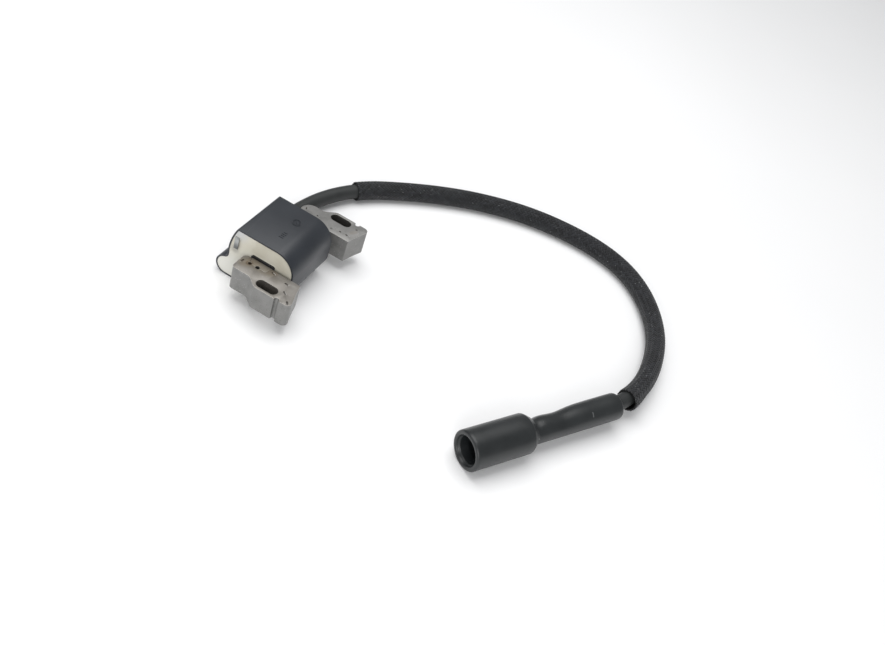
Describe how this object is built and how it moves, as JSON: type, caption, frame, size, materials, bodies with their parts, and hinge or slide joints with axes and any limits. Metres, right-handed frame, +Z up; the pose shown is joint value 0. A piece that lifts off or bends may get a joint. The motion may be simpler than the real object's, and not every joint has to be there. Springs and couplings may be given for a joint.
{
  "type": "ignition coil",
  "caption": "Small-engine ignition module: potted coil on a laminated core with slotted legs, and a sleeved spark lead ending in a rubber plug boot.",
  "frame": {"origin": "midway between the two mounting slots, on the underside of the laminated core", "axes": "+X along the coil's core bar, from the potted end to the end where the lead leaves; +Y away from the flywheel; +Z up through the stack of core sheets"},
  "size_m": [0.1906, 0.204, 0.0294],
  "materials": {
    "core_steel": "satin",
    "housing_plastic": "satin",
    "potting_resin": "satin",
    "bobbin_plastic": "matte",
    "enamelled_copper": "satin",
    "polyester_tape": "satin",
    "board_laminate": "satin",
    "component_epoxy": "matte",
    "film_capacitor": "satin",
    "resistor_body": "satin",
    "ferrite": "matte",
    "tinned_metal": "satin",
    "brass": "satin",
    "spring_steel": "satin",
    "lead_jacket_rubber": "satin",
    "seal_rubber": "matte",
    "braided_sleeve": "matte",
    "boot_rubber": "satin"
  },
  "bodies": {
    "coil": {"rear_leg_and_bar_sheets": "core_steel", "front_leg_sheets": "core_steel", "housing_shell": "housing_plastic", "lead_seal": "seal_rubber", "primary_bobbin": "bobbin_plastic", "primary_winding": "enamelled_copper", "primary_tape": "polyester_tape", "secondary_bobbin": "bobbin_plastic", "secondary_winding": "enamelled_copper", "circuit_board": "board_laminate", "power_transistor": "component_epoxy", "capacitor": "film_capacitor", "resistor": "resistor_body", "diode": "component_epoxy", "pickup_core": "ferrite", "pickup_winding": "enamelled_copper", "primary_wires": "enamelled_copper", "ground_strap": "tinned_metal", "kill_terminal": "tinned_metal", "high_tension_contact": "brass", "high_tension_wire": "enamelled_copper", "potting_compound": "potting_resin", "lead_jacket": "lead_jacket_rubber", "lead_conductor": "tinned_metal", "loom_sleeve": "braided_sleeve", "terminal_spring": "spring_steel", "plug_terminal": "brass", "terminal_rod": "brass", "lead_ferrule": "brass"},
    "boot": {"plug_boot": "boot_rubber"}
  },
  "joints": [
    {"name": "boot_turn", "type": "hinge", "parent": "coil", "child": "boot", "pos_m": [-0.01191, -0.13338, 0.00275], "axis": [0.8408, -0.5413, 0], "continuous": true}
  ]
}
